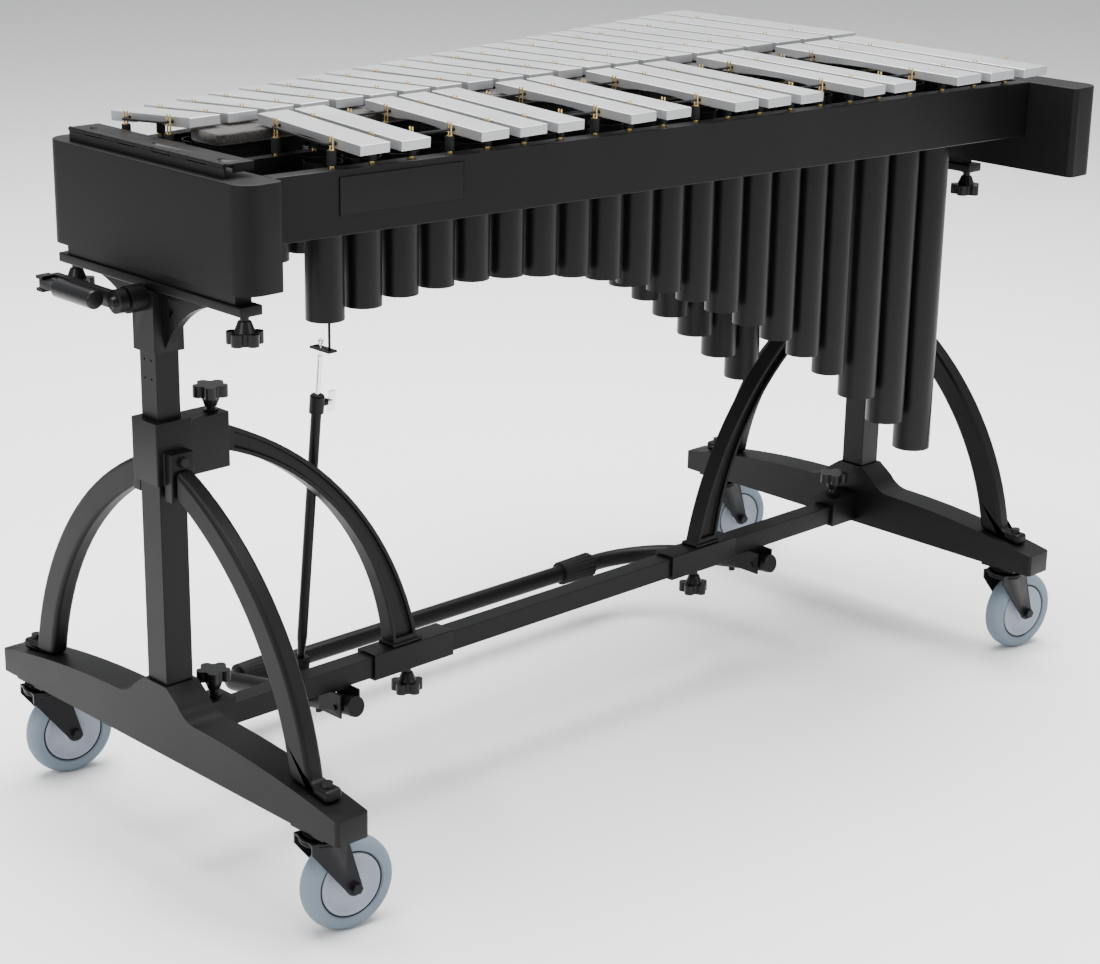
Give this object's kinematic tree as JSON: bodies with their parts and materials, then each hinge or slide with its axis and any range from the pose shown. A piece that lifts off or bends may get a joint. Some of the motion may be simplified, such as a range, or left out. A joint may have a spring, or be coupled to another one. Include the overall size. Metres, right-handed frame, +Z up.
{
  "type": "vibraphone",
  "caption": "Vibraphone with graduated metal bars over tube resonators on a rolling height-adjustable stand with arched braces and a full-width damper pedal.",
  "frame": {"origin": "on the floor, midway between the two posts of the stand", "axes": "+X along the keyboard from high bars to low bars, +Y from the audience's side to the player's side, +Z up"},
  "size_m": [1.5728, 0.784, 0.9614],
  "materials": {
    "foot_casting": "satin black casting",
    "arch_casting": "fine cast texture, black",
    "post_black": "satin black",
    "collar_black": "satin black casting",
    "bush_plastic": "matte",
    "beam_black": "satin black",
    "bolt_black": "black oxide",
    "caster_steel": "zinc plated",
    "caster_tyre": "blue grey tyre, lighter hub",
    "knob_plastic": "semi gloss",
    "inner_post_black": "satin black",
    "bracket_black": "satin black casting",
    "panel_black": "matte black paint",
    "rail_black": "textured black paint",
    "inner_rail_black": "black paint",
    "badge": "blank plate",
    "hinge_black": "black",
    "bar_silver": "brushed silver",
    "pin_gold": "gold plated",
    "sleeve_rubber": "matte",
    "cord_black": "braided",
    "spring_steel": "plated",
    "tube_black": "satin black",
    "strip_black": "satin black",
    "felt_dark": "speckled felt",
    "damper_steel": "black",
    "rod_black": "satin black",
    "rod_chrome": "polished",
    "pedal_black": "satin black",
    "coupling_rubber": "ribbed",
    "crank_steel": "satin black",
    "grip_plastic": "matte",
    "screw_steel": "plain"
  },
  "bodies": {
    "stand": {"left_foot": "foot_casting", "right_foot": "foot_casting", "outer_posts": "post_black", "post_collars": "collar_black", "post_bushes": "bush_plastic", "side_arches": "arch_casting", "long_arches": "arch_casting", "cross_beam": "beam_black", "beam_sleeves": "collar_black", "pedal_hangers": "bracket_black", "stand_bolts": "bolt_black", "caster_plates": "caster_steel"},
    "bed": {"inner_posts": "inner_post_black", "top_brackets": "bracket_black", "end_panels": "panel_black", "bed_rails": "rail_black", "inner_rails": "inner_rail_black", "name_plate": "badge", "hinge_leaf": "hinge_black", "natural_bars": "bar_silver", "accidental_bars": "bar_silver", "bar_posts": "pin_gold", "post_sleeves": "sleeve_rubber", "suspension_cords": "cord_black", "natural_resonators": "tube_black", "accidental_resonators": "tube_black", "resonator_strips": "strip_black", "springs": "spring_steel"},
    "cover_flap": {"cover_flap": "hinge_black"},
    "damper": {"damper_felt": "felt_dark", "damper_bar": "damper_steel"},
    "pedal": {"pedal_frame": "pedal_black", "pedal_couplings": "coupling_rubber"},
    "rod_sleeve": {"rod_sleeve": "rod_black"},
    "pull_rod": {"pull_rod": "rod_chrome"},
    "wing_screw": {"wing_screw": "rod_chrome"},
    "caster_left_near": {"caster_fork_left_near": "caster_steel"},
    "wheel_left_near": {"caster_wheel_left_near": "caster_tyre"},
    "caster_left_far": {"caster_fork_left_far": "caster_steel"},
    "wheel_left_far": {"caster_wheel_left_far": "caster_tyre"},
    "caster_right_near": {"caster_fork_right_near": "caster_steel"},
    "wheel_right_near": {"caster_wheel_right_near": "caster_tyre"},
    "caster_right_far": {"caster_fork_right_far": "caster_steel"},
    "wheel_right_far": {"caster_wheel_right_far": "caster_tyre"},
    "collar_knob_left": {"collar_knob_left": "knob_plastic"},
    "socket_knob_left": {"socket_knob_left": "knob_plastic"},
    "sleeve_knob_left": {"sleeve_knob_left": "knob_plastic"},
    "bracket_knob_left_near": {"bracket_knob_left_near": "knob_plastic"},
    "bracket_knob_left_far": {"bracket_knob_left_far": "knob_plastic"},
    "collar_knob_right": {"collar_knob_right": "knob_plastic"},
    "socket_knob_right": {"socket_knob_right": "knob_plastic"},
    "sleeve_knob_right": {"sleeve_knob_right": "knob_plastic"},
    "bracket_knob_right_near": {"bracket_knob_right_near": "knob_plastic"},
    "bracket_knob_right_far": {"bracket_knob_right_far": "knob_plastic"},
    "crank_left": {"crank_left": "crank_steel"},
    "crank_grip_left": {"crank_grip_left": "grip_plastic"},
    "lead_screw_left": {"lead_screw_left": "screw_steel"},
    "crank_right": {"crank_right": "crank_steel"},
    "crank_grip_right": {"crank_grip_right": "grip_plastic"},
    "lead_screw_right": {"lead_screw_right": "screw_steel"}
  },
  "joints": [
    {"name": "height_adjust", "type": "slide", "parent": "stand", "child": "bed", "axis": [0, 0, 1], "range_m": [-0.06, 0.06]},
    {"name": "swivel_left_near", "type": "hinge", "parent": "stand", "child": "caster_left_near", "pos_m": [-0.695, -0.306, 0.14], "axis": [0, 0, 1], "continuous": true},
    {"name": "spin_left_near", "type": "hinge", "parent": "caster_left_near", "child": "wheel_left_near", "pos_m": [-0.66133, -0.31073, 0.0625], "axis": [0.1392, 0.9903, 0], "continuous": true},
    {"name": "swivel_left_far", "type": "hinge", "parent": "stand", "child": "caster_left_far", "pos_m": [-0.695, 0.306, 0.14], "axis": [0, 0, 1], "continuous": true},
    {"name": "spin_left_far", "type": "hinge", "parent": "caster_left_far", "child": "wheel_left_far", "pos_m": [-0.66133, 0.30127, 0.0625], "axis": [0.1392, 0.9903, 0], "continuous": true},
    {"name": "swivel_right_near", "type": "hinge", "parent": "stand", "child": "caster_right_near", "pos_m": [0.695, -0.306, 0.14], "axis": [0, 0, 1], "continuous": true},
    {"name": "spin_right_near", "type": "hinge", "parent": "caster_right_near", "child": "wheel_right_near", "pos_m": [0.72867, -0.31073, 0.0625], "axis": [0.1392, 0.9903, 0], "continuous": true},
    {"name": "swivel_right_far", "type": "hinge", "parent": "stand", "child": "caster_right_far", "pos_m": [0.695, 0.306, 0.14], "axis": [0, 0, 1], "continuous": true},
    {"name": "spin_right_far", "type": "hinge", "parent": "caster_right_far", "child": "wheel_right_far", "pos_m": [0.72867, 0.30127, 0.0625], "axis": [0.1392, 0.9903, 0], "continuous": true},
    {"name": "collar_knob_left_turn", "type": "hinge", "parent": "stand", "child": "collar_knob_left", "pos_m": [-0.62, 0, 0.588], "axis": [0, 0, 1], "range_deg": [0, 720]},
    {"name": "socket_knob_left_turn", "type": "hinge", "parent": "stand", "child": "socket_knob_left", "pos_m": [-0.628, 0, 0.2], "axis": [0, 0, 1], "range_deg": [0, 720]},
    {"name": "sleeve_knob_left_turn", "type": "hinge", "parent": "stand", "child": "sleeve_knob_left", "pos_m": [-0.296, 0, 0.153], "axis": [0, 0, -1], "range_deg": [0, 720]},
    {"name": "bracket_knob_left_near_turn", "type": "hinge", "parent": "bed", "child": "bracket_knob_left_near", "pos_m": [-0.695, -0.176, 0.759], "axis": [0, 0, -1], "range_deg": [0, 720]},
    {"name": "bracket_knob_left_far_turn", "type": "hinge", "parent": "bed", "child": "bracket_knob_left_far", "pos_m": [-0.695, 0.176, 0.759], "axis": [0, 0, -1], "range_deg": [0, 720]},
    {"name": "collar_knob_right_turn", "type": "hinge", "parent": "stand", "child": "collar_knob_right", "pos_m": [0.62, 0, 0.588], "axis": [0, 0, 1], "range_deg": [0, 720]},
    {"name": "socket_knob_right_turn", "type": "hinge", "parent": "stand", "child": "socket_knob_right", "pos_m": [0.628, 0, 0.2], "axis": [0, 0, 1], "range_deg": [0, 720]},
    {"name": "sleeve_knob_right_turn", "type": "hinge", "parent": "stand", "child": "sleeve_knob_right", "pos_m": [0.296, 0, 0.153], "axis": [0, 0, -1], "range_deg": [0, 720]},
    {"name": "bracket_knob_right_near_turn", "type": "hinge", "parent": "bed", "child": "bracket_knob_right_near", "pos_m": [0.695, -0.176, 0.759], "axis": [0, 0, -1], "range_deg": [0, 720]},
    {"name": "bracket_knob_right_far_turn", "type": "hinge", "parent": "bed", "child": "bracket_knob_right_far", "pos_m": [0.695, 0.176, 0.759], "axis": [0, 0, -1], "range_deg": [0, 720]},
    {"name": "flap_hinge", "type": "hinge", "parent": "bed", "child": "cover_flap", "pos_m": [-0.702, 0.005, 0.931], "axis": [0, -1, 0], "range_deg": [0, 165]},
    {"name": "pedal_press", "type": "hinge", "parent": "stand", "child": "pedal", "pos_m": [0, -0.02, 0.135], "axis": [-1, 0, 0], "range_deg": [0, 6.4]},
    {"name": "damper_drop", "type": "slide", "parent": "bed", "child": "damper", "axis": [0, 0, -1], "range_m": [0, 0.0092], "stiffness_N_per_m": 2000, "springref_m": -0.06},
    {"name": "rod_travel", "type": "slide", "parent": "stand", "child": "rod_sleeve", "axis": [0, 0.1154, -0.9933], "range_m": [0, 0.0092]},
    {"name": "rod_telescope", "type": "slide", "parent": "rod_sleeve", "child": "pull_rod", "axis": [0, -0.1154, 0.9933], "range_m": [-0.061, 0.061]},
    {"name": "wing_turn", "type": "hinge", "parent": "rod_sleeve", "child": "wing_screw", "pos_m": [-0.44, 0.01301, 0.5584], "axis": [1, 0, 0], "range_deg": [0, 720]},
    {"name": "crank_turn_left", "type": "hinge", "parent": "bed", "child": "crank_left", "pos_m": [-0.75, 0, 0.75], "axis": [1, 0, 0], "range_deg": [-1080, 1080]},
    {"name": "grip_fold_left", "type": "hinge", "parent": "crank_left", "child": "crank_grip_left", "pos_m": [-0.768, 0.137, 0.75], "axis": [0, 0, -1], "range_deg": [0, 100]},
    {"name": "screw_turn_left", "type": "hinge", "parent": "bed", "child": "lead_screw_left", "pos_m": [-0.695, 0, 0.5], "axis": [0, 0, 1], "range_deg": [-1080, 1080]},
    {"name": "crank_turn_right", "type": "hinge", "parent": "bed", "child": "crank_right", "pos_m": [0.75, 0, 0.75], "axis": [1, 0, 0], "range_deg": [-1080, 1080]},
    {"name": "grip_fold_right", "type": "hinge", "parent": "crank_right", "child": "crank_grip_right", "pos_m": [0.768, 0.137, 0.75], "axis": [0, 0, 1], "range_deg": [0, 100]},
    {"name": "screw_turn_right", "type": "hinge", "parent": "bed", "child": "lead_screw_right", "pos_m": [0.695, 0, 0.5], "axis": [0, 0, 1], "range_deg": [-1080, 1080]}
  ],
  "couplings": [
    {"joint": "crank_turn_left", "follows": "height_adjust", "rad_per_m": -314.15},
    {"joint": "screw_turn_left", "follows": "height_adjust", "rad_per_m": 314.15},
    {"joint": "crank_turn_right", "follows": "height_adjust", "rad_per_m": 314.15},
    {"joint": "screw_turn_right", "follows": "height_adjust", "rad_per_m": 314.15},
    {"joint": "rod_travel", "follows": "pedal_press", "m_per_rad": 0.08163},
    {"joint": "damper_drop", "follows": "pedal_press", "m_per_rad": 0.08109},
    {"joint": "rod_telescope", "follows": "height_adjust", "ratio": 1.0067}
  ]
}
